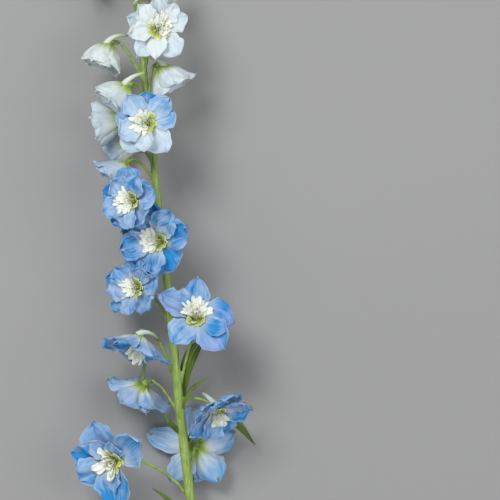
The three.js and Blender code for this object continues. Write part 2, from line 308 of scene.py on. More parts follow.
class Piece:
    """Collects meshes with their two sets of values for the materials, and makes one object of them.

    "place" holds how far along a petal a point is, how far to the side (-1 to 1), and which face it is on
    (1 front, 0 back). "tone" holds two strengths, such as how blue a sepal is, and a number that differs by
    petal. Each material says what its strengths are.
    """

    def __init__(self):
        self.parts = []
        self.faces = []
        self.slots = []
        self.count = 0

    def add(self, points, faces, place, tone=(0, 0, 0), slot=0):
        self.parts.append((points, place, np.broadcast_to(tone, (len(points), 3))))
        self.faces.extend(tuple(corner + self.count for corner in face) for face in faces)
        self.slots.extend([slot] * len(faces))
        self.count += len(points)

    def finished(self, name, materials, slot, *nodes):
        """Makes the object, as a piece that stands for CAD nodes."""
        points, place, tone = (np.concatenate(values) for values in zip(*self.parts))
        points[:, 2] = np.maximum(points[:, 2], FLOOR_CLEARANCE)
        mesh = new_mesh(name, points.tolist(), self.faces, *materials)
        mesh.polygons.foreach_set("material_index", self.slots)
        mesh.polygons.foreach_set("use_smooth", [True] * len(self.faces))
        give_values(mesh, "place", place)
        give_values(mesh, "tone", tone)
        mesh.validate()
        placed(name, mesh, slot, *nodes)


def quads(corners):
    """The quads between the points of a grid, given the points' numbers."""
    ring = (corners[:-1, :-1], corners[:-1, 1:], corners[1:, 1:], corners[1:, :-1])
    return np.stack([side.ravel() for side in ring], axis=1).tolist()


def grid_place(u, v):
    """How far along and how far to the side each point of a grid is."""
    return np.stack(np.broadcast_arrays(u, v), axis=2)


def shell(points, thickness, place):
    """A thin closed sheet: a front and a back at a grid of points, and a rim that joins them."""
    normal = np.cross(np.gradient(points, axis=0), np.gradient(points, axis=1))
    normal /= np.linalg.norm(normal, axis=2, keepdims=True) + TINY
    half = 0.5 * thickness * (1 - 0.6 * np.abs(place[..., 1:]) ** 3)
    front = (points + normal * half).reshape(-1, 3)
    back = (points - normal * half).reshape(-1, 3)
    number = np.arange(len(front)).reshape(points.shape[:2])
    edge = np.concatenate([number[0, :-1], number[:-1, -1], number[-1, :0:-1], number[:0:-1, 0]])
    after = np.roll(edge, -1)
    rim = np.stack([after, after + len(front), edge + len(front), edge], axis=1).tolist()
    faces = [face[::-1] for face in quads(number)] + quads(number + len(front)) + rim
    flat = place.reshape(-1, 2)
    sides = [np.column_stack([flat, np.full(len(flat), face)]) for face in (1.0, 0.0)]
    return np.concatenate([front, back]), faces, np.concatenate(sides)


def tube(centres, radii, sides, ribs=0.0, rib_count=5):
    """A closed tube along a line of points, with its values for "place"."""
    centres = np.asarray(centres, float)
    tangents = np.gradient(centres, axis=0)
    tangents /= np.linalg.norm(tangents, axis=1, keepdims=True) + TINY
    helper = np.array([0.0, 0.0, 1.0]) if abs(tangents[0][2]) < 0.9 else np.array([1.0, 0.0, 0.0])
    side = unit(np.cross(tangents[0], helper))
    angles = np.arange(sides) / sides * 2 * np.pi
    out = 1 + ribs * np.cos(rib_count * angles)
    rings = []
    for centre, radius, tangent in zip(centres, radii, tangents):
        side = square_to(tangent, side)
        up = np.cross(tangent, side)
        ring = np.outer(np.cos(angles) * out, side) + np.outer(np.sin(angles) * out, up)
        rings.append(centre + radius * ring)
    points = np.concatenate([*rings, centres[:1], centres[-1:]])
    count = len(centres)
    number = np.arange(count * sides).reshape(count, sides)
    faces = quads(np.column_stack([number, number[:, 0]]))
    first, last = count * sides, count * sides + 1
    end = (count - 1) * sides
    for column in range(sides):
        following = (column + 1) % sides
        faces.append((first, following, column))
        faces.append((last, end + column, end + following))
    along = np.repeat(np.linspace(0, 1, count), sides)
    about = np.tile(np.cos(angles), count)
    place = np.column_stack([along, about, np.ones(len(along))])
    return points, faces, np.concatenate([place, [[0, 0, 1], [1, 0, 1]]])


def bezier(points, steps):
    """A Bezier curve with three or four control points, as a line of points."""
    t = np.linspace(0, 1, steps)[:, None]
    line = [np.asarray(p, float) for p in points]
    while len(line) > 1:
        line = [a * (1 - t) + b * t for a, b in zip(line[:-1], line[1:])]
    return line[0]


def waves(u, v, rng, count=4, along=(1.0, 3.2), across=1.6):
    """A smooth wavy surface between about -1 and 1."""
    total = np.zeros(np.broadcast(u, v).shape)
    for _ in range(count):
        turns = rng.uniform(*along) * u + rng.uniform(-across, across) * v
        total += np.sin(2 * np.pi * (turns + rng.uniform()))
    return total / count


def folds(u, v, rng):
    """Soft straight creases that run roughly along a petal, between about -1 and 1."""
    phase = rng.uniform(0.6, 1.3) * v + rng.uniform(-0.8, 0.8) * u + rng.uniform()
    return np.arcsin(0.94 * np.sin(2 * np.pi * phase)) * 2 / np.pi


def blade(
    rng, rows, columns, foot,
    length, width, widest, skew, claw, taper, blunt, uneven, point,
    angle, turn, curl, hollow, ruffle, fold, crease, pleat, roll, twist, bend,
):
    """A petal's grid of points, in the flower's frame and pointing along its x.

    foot is where it starts: how far out and how high. Its outline has its widest place, skew (how much
    further up that is on one side), claw (the width of its foot), taper (1 for straight sides to the tip, 2
    for round ones), blunt (small is blunter), uneven (how far it wanders) and point (longer in the middle of
    the tip, or notched there below 0). It leans by angle from the flower's axis, by turn more towards the tip
    and by curl more at the very tip. hollow is how far its sides curl in. It rolls about its own length,
    twists more towards the tip and bends sideways.
    """
    # u runs from the foot to the tip and v from side to side. The outline: half is half the width at u.
    u = (1 - (1 - np.linspace(0, 1, rows)) ** 1.35)[:, None]
    v = np.linspace(-1, 1, columns)[None, :]
    broadest = widest + skew * np.sign(v)
    swell = claw + (1 - claw) * smooth(u, 0.0, broadest) ** 0.85
    beyond = np.clip((u - broadest) / (1 - broadest), 0, 1)
    end = np.clip(1 - beyond ** taper, 0, 1) ** blunt
    half = np.maximum(width / 2 * swell * end, 0.012 * width)
    wander = waves(u, np.sign(v) * 0.4, rng, along=(1.5, 4.5)) * smooth(u, 0.2, 0.6)
    half = half * (1 + uneven * wander * np.abs(v))

    # The middle line: how far out from the axis and how high it is at u.
    slope = np.radians(angle + turn * (u - 0.5) + curl * smooth(u, 0.65, 1.0))
    middle = (slope[1:] + slope[:-1]) / 2
    step = np.diff(u, axis=0) * length
    start = np.zeros((1, 1))
    out = foot[0] + np.concatenate([start, np.cumsum(np.sin(middle) * step, axis=0)])
    high = foot[1] + np.concatenate([start, np.cumsum(np.cos(middle) * step, axis=0)])

    # Across it: how far aside each point is and how far forward, with the ruffles, folds and pleats.
    around = np.clip(half / np.maximum(out, 0.5 * MM) * np.cos(slope), -0.9, 0.9)
    arc = hollow + around + 1e-4
    aside = half * np.sin(arc * v) / arc
    forward = half * (1 - np.cos(arc * v)) / arc
    edge = np.maximum(np.abs(v) ** 2.2, 0.8 * smooth(u, 0.7, 1.0)) * smooth(u, 0.12, 0.6)
    forward = forward + ruffle * width * edge * waves(u, v, rng)
    forward = forward + 0.35 * ruffle * width * edge * waves(u, v, rng, along=(3.5, 6.5), across=3.0)
    forward = forward + 0.25 * ruffle * width * waves(u, v, rng) * smooth(u, 0.0, 0.5)
    forward = forward + fold * width * folds(u, v, rng) * smooth(u, 0.1, 0.6)
    forward = forward - crease * half * np.exp(-((v / 0.16) ** 2)) * (1 - 0.4 * u)
    pleats = np.cos(2 * np.pi * (2.6 * v + rng.uniform())) * np.sin(np.pi * np.abs(v)) * (1 - 0.6 * u)
    forward = forward + pleat * width * pleats * smooth(u, 0.05, 0.4)
    gathers = np.cos(2 * np.pi * (rng.uniform(4.0, 5.5) * v + rng.uniform())) * smooth(u, 0.45, 1.0)
    forward = forward + 0.3 * pleat * width * gathers

    # Rolled and bent, and put on the middle line.
    rolled = np.radians(roll + twist * u)
    side = aside * np.cos(rolled) - forward * np.sin(rolled)
    forward = aside * np.sin(rolled) + forward * np.cos(rolled)
    side = side + bend * length * u ** 2
    tip = np.exp(-(((v - rng.uniform(-0.15, 0.15)) / 0.22) ** 2)) * u ** 8
    reach = point * length * tip
    x = out - forward * np.cos(slope) + reach * np.sin(slope)
    z = high + forward * np.sin(slope) + reach * np.cos(slope)
    return np.stack([x, side + 0 * x, z], axis=2), grid_place(u, v)


def softened(grid):
    """Each number of a grid as the mean of its four neighbours."""
    wide = np.pad(grid, 1, mode="edge")
    return (wide[:-2, 1:-1] + wide[2:, 1:-1] + wide[1:-1, :-2] + wide[1:-1, 2:]) / 4


def finer(sheet):
    """A grid of points with three times as many points each way."""
    for way in (0, 1):
        last = sheet.shape[way] - 1
        place = np.linspace(0, last, 3 * last + 1)
        low = np.minimum(place.astype(int), last - 1)
        share = (place - low).reshape((-1, 1, 1) if way == 0 else (1, -1, 1))
        sheet = np.take(sheet, low, way) * (1 - share) + np.take(sheet, low + 1, way) * share
    return sheet


class Pile:
    """How high the sepals of an open flower already lie, over a grid across its axis."""

    def __init__(self, reach):
        self.reach = reach
        self.count = int(2 * reach / PILE_CELL) + 1
        self.height = np.full((self.count, self.count), -reach)

    def cells(self, sheet):
        cells = np.clip((sheet[..., :2] + self.reach) / PILE_CELL, 0, self.count - 1).astype(int)
        return cells[..., 0], cells[..., 1]

    def lay(self, sheet, along):
        """Lifts a petal softly off what lies under it, except at its foot."""
        wide = np.pad(self.height, 1, mode="edge")
        near = [wide[i:i + self.count, j:j + self.count] for i in range(3) for j in range(3)]
        roof = np.max(near, axis=0)
        need = np.clip(roof[self.cells(sheet)] + PILE_GAP - sheet[..., 2], 0, PILE_LIFT)
        need = need * smooth(along, 0.08, 0.3)
        lift = need
        for _ in range(PILE_SOFTENINGS):
            lift = np.maximum(need, softened(lift))
        sheet[..., 2] += lift

    def add(self, sheet):
        sheet = finer(sheet)
        np.maximum.at(self.height, self.cells(sheet), sheet[..., 2])


def turned(points, degrees):
    """Points turned about the flower's axis, z."""
    angle = np.radians(degrees)
    c, s = np.cos(angle), np.sin(angle)
    return points @ np.array([[c, s, 0], [-s, c, 0], [0, 0, 1]])


def spur_line(foot, corners):
    """The middle of a spur, from its foot to its tip, as a smooth line through the corners of its solid."""
    away = np.linalg.norm(corners - foot, axis=1)
    share = np.append(away / away.max(), np.zeros(len(away)))
    points = np.concatenate([corners, np.tile(foot, (len(away), 1))])
    return fitted(share, points, 2, np.linspace(0, 1, SPUR_STEPS))


# ---- Flowers ----


class Flower:
    """Where a flower is, which way it faces and how large and open it is, from its two CAD nodes."""

    def __init__(self, number):
        self.name = f"flower_{number:02d}"
        self.look = LOOKS[number]
        self.rng = np.random.default_rng([SEED, number])
        self.blades = 0
        tuft = node_points(f"{self.name}_petals")
        cup = node_points(f"{self.name}_sepals")
        # The goblet of petals gives the axis, and its narrow end the hub.
        middle = tuft.mean(axis=0)
        spread, ways = np.linalg.eigh(np.cov((tuft - middle).T))
        odd = 0 if spread[1] - spread[0] > spread[2] - spread[1] else 2  # its rings spread evenly
        axis = ways[:, odd]
        height = (tuft - middle) @ axis
        reach = np.linalg.norm(tuft - middle - np.outer(height, axis), axis=1)
        if height @ (reach - reach.mean()) < 0:
            axis = -axis
            height = -height
        self.hub = middle + (height.min() - GAP) * axis
        spur_side = square_to(axis, UP_THE_SPIKE)
        self.basis = np.stack([spur_side, np.cross(axis, spur_side), axis])
        # The cup's rim gives the sepals' length and openness, and what is behind its wall is the spur.
        local = (cup - self.hub) @ self.basis.T
        reach = np.hypot(local[:, 0], local[:, 1])
        front = local[:, 2] > 0
        tip = np.argmax(np.where(front, np.hypot(reach - HUB_RADIUS, local[:, 2]), 0))
        out, high = reach[tip] - HUB_RADIUS, local[tip, 2]
        self.sepal = np.hypot(out, high) / CHORD_SHARE
        self.open = np.degrees(np.arctan2(out, high))
        slope = np.radians(self.open + np.interp(self.open, *CUP_TURN) * np.linspace(-0.5, 0.5, CUP_STEPS))
        radii = HUB_RADIUS + np.cumsum(np.sin(slope)) * self.sepal / CUP_STEPS
        heights = np.cumsum(np.cos(slope)) * self.sepal / CUP_STEPS
        wall = np.interp(reach, radii, heights)  # the height of the cup of sepals at each corner
        self.flatness = smooth(self.open, *FLATNESS)
        shoulder = np.interp(SPUR_FOOT + SPUR_MOUTH + HUB_RADIUS - SEPAL_FOOT, radii, heights)
        mouth = np.array([SPUR_FOOT, 0, shoulder * (1 - 0.7 * self.flatness)])
        self.spur = spur_line(mouth, local[local[:, 2] < wall - SPUR_STARTS])
        self.pile = Pile(1.5 * self.sepal) if self.flatness > 0.5 else None

    def world(self, points):
        """Points of the flower's own frame, in the row frame."""
        return points.reshape(-1, 3) @ self.basis + self.hub


def add_blade(piece, flower, points, place, degrees, thickness, tone, carries=False):
    """Adds a petal, turned about the flower's axis. It lies on what is under it, and bends along the floor.

    A sepal carries what comes after it.
    """
    sheet = turned(points.reshape(-1, 3), degrees).reshape(points.shape)
    if flower.pile:
        flower.pile.lay(sheet, place[..., 0])
        if carries:
            flower.pile.add(sheet)
    sheet = flower.world(sheet).reshape(points.shape)
    level = FLOOR_CLEARANCE + thickness + FLOOR_LAYER * (flower.blades % SEPALS)
    sheet[..., 2] = level + FLOOR_BEND * np.logaddexp(0.0, (sheet[..., 2] - level) / FLOOR_BEND)
    flower.blades += 1
    piece.add(*shell(sheet, thickness, place), tone)


def add_sepals(piece, flower):
    """The outer whorl of sepals, and the further whorls of narrower and paler ones inside it."""
    rng = flower.rng
    look = flower.look
    flatness = flower.flatness
    turn = np.interp(flower.open, *SEPAL_TURN)
    crumple = (0.65 + 0.35 * flatness) * look.crumple
    even = 360 / SEPALS  # degrees from one outer sepal to the next
    for whorl, (count, share) in enumerate([(SEPALS, 1.0), *look.inner]):
        outer = whorl == 0
        for i in range(count):
            breadth = 0.98 - 0.14 * flatness if outer else (0.92 - 0.2 * flatness) * share ** 0.7
            longer, wider = (look.lengths[i], look.widths[i]) if outer else (1, 1)
            shape = {
                "length": flower.sepal * share * rng.uniform(0.93, 1.07) * longer,
                "width": flower.sepal * breadth * look.broad * rng.uniform(0.92, 1.08) * wider,
                "widest": rng.uniform(0.5, 0.62) + 0.1 * (1 - flatness),
                "skew": rng.uniform(-0.1, 0.1),
                "claw": 0.3,
                "taper": rng.uniform(1.5, 2.3) + 0.3 * (1 - flatness) + look.round,
                "blunt": rng.uniform(0.5, 0.9) - 0.1 * (1 - flatness),
                "uneven": 0.14 + 0.05 * whorl,
                "point": rng.uniform(0.0, 0.09) * (1 - 0.7 * look.round),
                "angle": flower.open - whorl * rng.uniform(8, 14) * flatness + rng.uniform(-4, 4),
                "turn": turn + rng.uniform(-14, 14),
                "curl": rng.uniform(-50, 35) * crumple + 16 * (1 - flatness),
                "hollow": rng.uniform(0.1, 0.55),
                "ruffle": (0.085 + 0.025 * whorl) * crumple,
                "fold": (0.04 + 0.01 * whorl) * crumple,
                "crease": 0.1,
                "pleat": 0.022 * crumple,
                "roll": 9 * flatness * rng.uniform(0.2, 1.8),
                "twist": rng.uniform(-15, 15) * flatness * (1 + 0.5 * whorl),
                "bend": rng.uniform(-0.07, 0.07) * (1 + 0.3 * whorl),
            }
            if outer:
                degrees = even * i + look.turns[i] + rng.uniform(-4, 4)
            else:
                degrees = even / 2 * whorl + even * ((2 * i) % SEPALS) + rng.uniform(-7, 7)
            foot = (SEPAL_FOOT, 0.9 * MM * whorl - 0.25 * MM * (i % 2))
            blue = look.blue * rng.uniform(0.85, 1.12) * look.fade ** whorl
            # Painted shade: the upper sepals are made bluer and darker and the lower ones paler, by above.
            blue = blue * (1 + look.above * np.cos(np.radians(degrees)))
            tone = (blue, look.lavender * rng.uniform(0.2, 1.5), rng.uniform())
            points, place = blade(rng, SEPAL_ROWS, SEPAL_COLUMNS, foot, **shape)
            add_blade(piece, flower, points, place, degrees, SEPAL_THICKNESS, tone, carries=True)


def add_spur(piece, flower):
    """The spur behind the upper sepal: a thin horn, wide where it leaves the sepal's foot."""
    along = np.linspace(0, 1, SPUR_STEPS)
    thick = np.array([SPUR_MOUTH, 2.4 * MM, 1.7 * MM, 1.3 * MM, MM, 0.8 * MM, 0.35 * MM])
    radii = np.interp(along, [0, 0.15, 0.4, 0.65, 0.9, 0.97, 1], thick)
    points, faces, place = tube(flower.spur, radii, 12, ribs=0.05)
    tone = (flower.look.blue, flower.look.spur, flower.rng.uniform())
    piece.add(flower.world(points), faces, place, tone, 1)


def add_petals(piece, flower):
    """The tuft of small cream petals, which leans away from the throat's opening, and the green claws."""
    rng = flower.rng
    sepal = flower.sepal
    look = flower.look
    flare = np.clip(flower.open / 68, 0.35, 1) * look.lean
    for layer, (most, spread, reach, angle) in enumerate(TUFT):
        count = round(most * look.many)
        for i in range(count):
            across = 2 * i / (count - 1) - 1 + rng.uniform(-0.07, 0.07)
            shape = TUFT_PETAL | {
                "length": sepal * reach * look.fan * (1 - 0.22 * abs(across)) * rng.uniform(0.82, 1.15),
                "width": sepal * rng.uniform(0.11, 0.17) * look.wide,
                "widest": rng.uniform(0.62, 0.76),
                "skew": rng.uniform(-0.08, 0.08),
                "point": -rng.uniform(0.03, 0.24),
                "angle": (angle * (1 - 0.2 * abs(across)) + rng.uniform(-7, 7)) * flare,
                "turn": rng.uniform(-5, 35) * flare,
                "curl": rng.uniform(-55, 40),
                "hollow": rng.uniform(0.3, 0.9),
                "roll": rng.uniform(-18, 18),
                "twist": rng.uniform(-24, 24),
                "bend": rng.uniform(-0.1, 0.1),
            }
            foot = ((1.9 - 0.3 * layer) * MM, GAP)
            points, place = blade(rng, PETAL_ROWS, PETAL_COLUMNS, foot, **shape)
            degrees = look.opening + 180 + spread * look.spread * across
            add_blade(piece, flower, points, place, degrees, PETAL_THICKNESS, (0.0, 0.0, rng.uniform()))
    for i in range(CLAWS):
        shape = CLAW_PETAL | {
            "length": sepal * rng.uniform(0.24, 0.32),
            "width": sepal * rng.uniform(0.16, 0.22),
            "angle": rng.uniform(32, 62) * flare,
            "turn": rng.uniform(-30, 10),
            "curl": rng.uniform(-60, 0),
            "hollow": rng.uniform(0.2, 0.7),
            "roll": rng.uniform(-10, 10),
            "twist": rng.uniform(-20, 20),
            "bend": rng.uniform(-0.1, 0.1),
        }
        foot = ((2.0 + 1.6 * flare) * MM, GAP)
        points, place = blade(rng, PETAL_ROWS, PETAL_COLUMNS, foot, **shape)
        degrees = look.opening + CLAW_ARC * (i / (CLAWS - 1) - 0.5) + rng.uniform(-4, 4)
        add_blade(piece, flower, points, place, degrees, PETAL_THICKNESS, (1.0, 0.0, rng.uniform()))


def add_stamens(piece, flower):
    """The dark green floor of the throat, partly the nectary's colour and partly painted shade, the carpels,
    and the stamens round them.
    """
    rng = flower.rng
    sepal = flower.sepal

    def add(line, radii, sides, dark, anther=0.0, degrees=0.0, **ribs):
        points, faces, place = tube(turned(np.asarray(line), degrees), np.asarray(radii) * MM, sides, **ribs)
        piece.add(flower.world(points), faces, place, (dark, anther, rng.uniform()))

    # The throat's floor: dark green partly as the nectary is, partly as painted shade deep in the tuft.
    floor = np.outer([-1.2 * MM, 0.1 * MM, 1.1 * MM, 1.7 * MM], [0, 0, 1])
    add(floor, [2.6, 3.1, 2.0, 0.5], 14, dark=1.0, ribs=0.06, rib_count=7)
    for i in range(CARPELS):
        line = bezier([[0.7 * MM, 0, MM], [1.1 * MM, 0, 0.12 * sepal], [0.5 * MM, 0, 0.24 * sepal]], 7)
        add(line, [0.7, 0.85, 0.8, 0.65, 0.45, 0.3, 0.15], 7, dark=0.5, degrees=360 / CARPELS * i + 30)
    for i in range(STAMENS):
        degrees = 360 * i / STAMENS + rng.uniform(-12, 12)
        out = sepal * rng.uniform(0.04, 0.16)
        high = sepal * rng.uniform(0.17, 0.3)
        line = bezier([[1.7 * MM, 0, 0.8 * MM], [2.2 * MM, 0, 0.6 * high], [out, 0, high]], 7)
        add(line, np.linspace(0.3, 0.16, 7), 5, dark=0.0, degrees=degrees)
        way = unit(np.array([rng.uniform(-1, 1), rng.uniform(-1, 1), 0.7]))
        ends = np.array([out, 0, high]) + np.outer(np.linspace(-0.75, 0.75, 5) * MM, way)
        add(ends, [0.1, 0.5, 0.58, 0.5, 0.1], 6, dark=0.8, anther=1.0, degrees=degrees)


def make_flower(number, materials):
    """A flower's three pieces: the sepals with the spur, the small petals, and the stamens in the throat."""
    flower = Flower(number)
    name = flower.name
    sepals = Piece()
    add_sepals(sepals, flower)
    add_spur(sepals, flower)
    slot = "sepal_white" if number >= FIRST_WHITE_FLOWER else "sepal_blue"
    sepals.finished(f"{name}_sepal_whorl", [materials["sepal"], materials["spur"]], slot, f"{name}_sepals")
    petals = Piece()
    add_petals(petals, flower)
    petals.finished(f"{name}_small_petals", [materials["petal"]], "petal_cream", f"{name}_petals")
    stamens = Piece()
    add_stamens(stamens, flower)
    stamens.finished(f"{name}_stamens", [materials["stamen"]], "petal_cream")
    return flower


# ---- Buds ----


def bud_frame(name):
    """A bud's foot, axis, upper side and length, from its CAD node."""
    points = node_points(name)
    middle, main = long_axis(points)
    along = (points - middle) @ main
    ends = []
    for way in (1, -1):
        near = points[along * way > (along * way).max() - 0.25 * MM]
        part = points[along * way > 0.4 * (along * way).max()]
        wide = np.linalg.norm(part - part.mean(axis=0), axis=1).mean()
        ends.append((wide, near.mean(axis=0)))
    ends.sort(key=lambda end: end[0])
    tail, tip = ends[0][1], ends[1][1]
    line = tip - tail
    length = np.linalg.norm(line) / BUD_TAIL_REACH
    line = unit(line)
    angle = np.radians(BUD_TAIL_ANGLE)
    axis = line * np.cos(angle) + square_to(line, UP_THE_SPIKE) * np.sin(angle)
    return tip - axis * length, axis, square_to(axis, UP_THE_SPIKE), length


def egg(share):
    """How thick a bud is at a share of its length, next to where it is thickest."""
    return np.sin(np.pi * (0.07 + 0.9 * share) ** 0.85) ** 0.75


def add_bud(piece, foot, axis, up, length, rng, grid=BUD_GRID, spur=True):
    """A closed bud: five sepals folded over each other into an egg with a point, and its small spur."""
    beside = np.cross(axis, up)
    basis = np.stack([up, beside, axis])
    rows, columns = grid
    u = np.linspace(0, 1, rows)[:, None]
    v = np.linspace(-1, 1, columns)[None, :]
    for i in range(SEPALS):
        belly = BUD_BELLY * length * egg(u)
        half = np.radians(44) * (1 - 0.25 * u)
        lift = (0.035 * (v + 1) + 0.03 * (i % 2)) * length * 0.5
        keel = 0.03 * length * np.exp(-((v / 0.22) ** 2))
        wavy = 0.012 * length * waves(u, v, rng)
        around = half * v + 0.25 * u ** 2
        radius = belly * (1 + 0 * v) + lift * smooth(belly, 0, 0.2 * length) + keel + wavy
        x = radius * np.cos(around)
        y = radius * np.sin(around)
        z = u * length * (1.0 + 0.03 * np.exp(-((v / 0.3) ** 2))) + 0 * x
        points = np.stack([x, y, z], axis=2).reshape(-1, 3)
        sheet = (turned(points, 360 / SEPALS * i) @ basis + foot).reshape(rows, columns, 3)
        tone = (rng.uniform(), 0.0, rng.uniform())
        piece.add(*shell(sheet, BUD_THICKNESS, grid_place(u, v)), tone)
    core = np.linspace(0.02, 0.93, 10)
    line = np.outer(core * length, [0, 0, 1])
    points, faces, place = tube(line, BUD_CORE * length * egg(core), 14)
    piece.add(points @ basis + foot, faces, place, (0.5, 1.0, 0.5))
    if spur:
        line = bezier(np.array([[0.22, 0, 0.2], [0.3, 0, -0.2], [0.3, 0, -0.62]]) * length, 12)
        radii = np.interp(np.linspace(0, 1, 12), [0, 0.3, 0.9, 1], [0.12, 0.085, 0.05, 0.02]) * length
        points, faces, place = tube(line, radii, 9)
        piece.add(points @ basis + foot, faces, place, (0.5, 0.5, 0.5), 1)


def make_bud(number, materials):
    """A closed bud in the place of its CAD node."""
    name = f"bud_{number:02d}"
    piece = Piece()
    rng = np.random.default_rng([SEED, BUD_SEED + number])
    add_bud(piece, *bud_frame(name), rng)
    piece.finished(f"{name}_closed_sepals", [materials["bud"], materials["spur"]], "bud", name)


def make_tip_cluster(materials):
    """The tight cluster of tiny buds at the tip, spiralled round the end of the stalk."""
    points = node_points("tip_bud_cluster")
    middle, axis = long_axis(points)
    if axis[1] < 0:
        axis = -axis
    along = (points - middle) @ axis
    foot = middle + along.min() * axis
    length = along.max() - along.min()
    side = unit(np.cross(axis, [0.0, 0.0, 1.0]))
    other = np.cross(axis, side)
    piece = Piece()
    rng = np.random.default_rng([SEED, TIP_SEED])
    for i in range(TINY_BUDS):
        share = i / (TINY_BUDS - 1)
        angle = np.radians(SPIRAL * i)
        out = np.cos(angle) * side + np.sin(angle) * other
        way = unit(axis * (0.55 + 1.2 * share) + out * (1 - 0.8 * share))
        start = foot + axis * length * (0.02 + 0.5 * share) + out * 1.1 * MM * (1 - share)
        size = (4.9 - 1.6 * share) * MM
        up = square_to(way, axis) if share < 0.99 else side
        add_bud(piece, start, way, up, size, rng, grid=TINY_BUD_GRID, spur=False)
    core = foot + np.outer(np.linspace(0, 0.75 * length, 6), axis)
    stem, faces, place = tube(core, np.linspace(1.4, 0.6, 6) * MM, 8)
    piece.add(stem, faces, place, (0.5, 0.5, 0.5), 1)
    piece.finished("tip_cluster_of_buds", [materials["bud"], materials["spur"]], "bud", "tip_bud_cluster")


# ---- Leaves ----


def add_leaf(piece, line, side, half_width, thickness, rng, columns, broadest=1.0, curl=0.35):
    """A narrow pointed leaf along a line of points, folded a little along its midrib."""
    u = np.linspace(0, 1, len(line))[:, None]
    v = np.linspace(-1, 1, columns)[None, :]
    tangent = np.gradient(line, axis=0)
    tangent /= np.linalg.norm(tangent, axis=1, keepdims=True)
    across = side - tangent * (tangent @ side)[:, None]
    across /= np.linalg.norm(across, axis=1, keepdims=True)
    up = np.cross(tangent, across)
    half = half_width * np.maximum(np.sin(np.pi * (0.06 + 0.93 * u) ** (0.9 * broadest)) ** 0.9, 0.06)
    lift = half * (curl * np.abs(v) ** 1.5) + 0.12 * half_width * np.abs(v) ** 2 * waves(u, v, rng)
    lift = lift - 0.12 * half * np.exp(-((v / 0.1) ** 2))
    veins = 0.02 * half * np.cos(2 * np.pi * 3.5 * v)
    grid = line[:, None, :] + across[:, None, :] * (half * v)[..., None]
    grid = grid + up[:, None, :] * (lift + veins)[..., None]
    piece.add(*shell(grid, thickness, grid_place(u, v)), (0.5, 0.0, rng.uniform()))


def make_leaf(name, number, broadest, materials):
    """A leaf along the middle of its CAD node, as wide as it is there."""
    points = node_points(name)
    middle, main = long_axis(points)
    along = (points - middle) @ main
    stalk = node_points("stalk")
    ends = [points[np.argmin(along)], points[np.argmax(along)]]
    near, far = (np.linalg.norm(stalk - end, axis=1).min() for end in ends)
    if far < near:  # a leaf starts at the stalk
        along = -along
    share = (along - along.min()) / (along.max() - along.min())
    line = fitted(share, points, 3, np.linspace(0, 1, LEAF_STEPS))
    off = points - fitted(share, points, 3, share)
    side = np.linalg.svd(off - off.mean(axis=0))[2][0]
    if np.cross(line[-1] - line[0], side)[2] < 0:
        side = -side
    half_width = np.abs(off @ side).max()
    piece = Piece()
    rng = np.random.default_rng([SEED, LEAF_SEED + number])
    add_leaf(piece, line, side, half_width, LEAF_THICKNESS, rng, LEAF_COLUMNS, broadest)
    piece.finished(f"{name}_blade", [materials["leaf"]], "leaf", name)


def make_bracts(flowers, materials):
    """The two tiny bracts on each flower's own stalk, a little way behind the flower."""
    piece = Piece()
    rng = np.random.default_rng([SEED, BRACT_SEED])
    stalk = node_points("stalk")
    for flower in flowers:
        away = np.linalg.norm(stalk - flower.hub, axis=1)
        ring = away[away > BRACT_CLEARANCE].min()  # where the corners of the flower's stalk are next
        foot = stalk[(away > BRACT_CLEARANCE) & (away < ring + 2 * MM)].mean(axis=0)
        along = unit(flower.hub - foot)
        beside = unit(np.cross(along, flower.basis[0]))
        for way in (1, -1):
            out = unit(way * beside + rng.uniform(-0.4, 0.4) * np.cross(beside, along))
            start = foot + out * 0.8 * MM
            middle = start + out * 2.0 * MM + along * 1.5 * MM
            end = start + out * 2.4 * MM + along * rng.uniform(0.6, 0.95) * BRACT_LENGTH
            line = bezier([start, middle, end], BRACT_STEPS)
            side = np.cross(along, out)
            add_leaf(piece, line, side, BRACT_WIDTH / 2, BRACT_THICKNESS, rng, BRACT_COLUMNS, curl=0.2)
    piece.finished("flower_stalk_bracts", [materials["leaf"]], "leaf")


# ---- The stalk ----


def beside_stalk(points):
    """0 for the points on the main stalk to 1 for those on the flowers' own stalks.

    The main stalk's middle is followed upwards from its cut end in short slices, and a smooth line is fitted
    to what is found.
    """
    flat = points[:, [0, 2]]
    heights = np.arange(points[:, 1].min(), points[:, 1].max(), STALK_STEP)
    middle = np.median(flat[points[:, 1] < heights[1]], axis=0)
    found = []
    for height in heights:
        level = flat[np.abs(points[:, 1] - height) < 0.5 * STALK_STEP]
        close = level[np.linalg.norm(level - middle, axis=1) < STALK_REACH]
        middle = np.median(close, axis=0)
        found.append((*middle, np.median(np.linalg.norm(close - middle, axis=1))))
    across, up, radius = (
        np.polyval(np.polyfit(heights, values, degree), points[:, 1])
        for values, degree in zip(np.array(found).T, (4, 4, 1))
    )
    away = np.hypot(flat[:, 0] - across, flat[:, 1] - up)
    edge = 1.35 * radius  # a little outside the main stalk
    return smooth(away, edge, edge + 1.5 * MM)


def melted(points, faces):
    """One smooth skin round solids that may overlap."""
    rough = added("stalk_source", new_mesh("stalk_source", points, faces))
    remesh = rough.modifiers.new("melt", "REMESH")
    remesh.mode = "VOXEL"
    remesh.voxel_size = STALK_VOXEL
    relax = rough.modifiers.new("relax", "SMOOTH")
    relax.factor = 0.5
    relax.iterations = 10
    skin = bpy.data.meshes.new_from_object(rough.evaluated_get(bpy.context.evaluated_depsgraph_get()))
    bpy.data.objects.remove(rough)
    return skin


